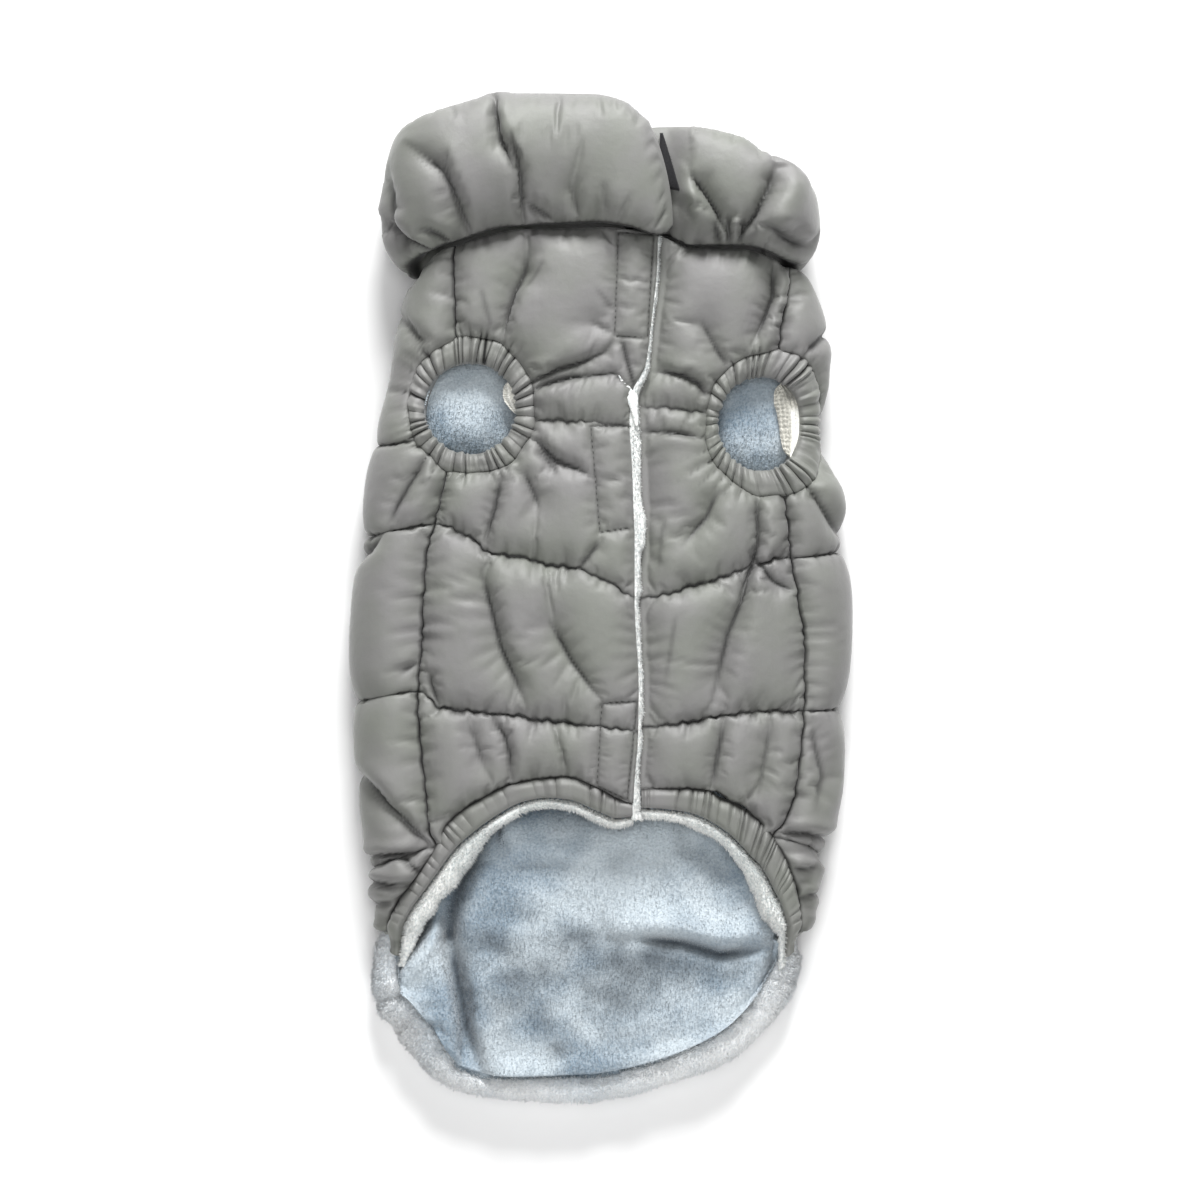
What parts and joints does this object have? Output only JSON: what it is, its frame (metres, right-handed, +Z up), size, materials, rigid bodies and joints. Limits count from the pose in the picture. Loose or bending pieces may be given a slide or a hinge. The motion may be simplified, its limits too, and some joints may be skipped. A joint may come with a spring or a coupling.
{
  "type": "dog winter coat",
  "caption": "Quilted padded dog coat with a stand-up collar, elastic leg cuffs, a front lap closure and a fleece lining, lying on its back with its tail flap open.",
  "frame": {"origin": "on the surface that the coat rests on, under the middle of its bounding box", "axes": "+Y from the tail flap to the collar, +X to the right as seen from above, +Z up out of the belly side"},
  "size_m": [0.2494, 0.5001, 0.0602],
  "materials": {
    "shell": "woven nylon, soft sheen",
    "lining": "plush fleece",
    "edging": "plush fleece edge",
    "hook_tape": "hook tape"
  },
  "bodies": {
    "root": {"back_panel": "shell", "belly_left": "shell", "belly_right": "shell", "leg_cuff_left": "shell", "leg_cuff_right": "shell", "hem_band_left": "shell", "hem_band_right": "shell", "collar": "shell", "back_lining": "lining", "hem_fleece_left": "edging", "hem_fleece_right": "edging", "placket_fleece": "edging", "tail_roll": "edging", "hook_tape": "hook_tape"}
  },
  "joints": []
}
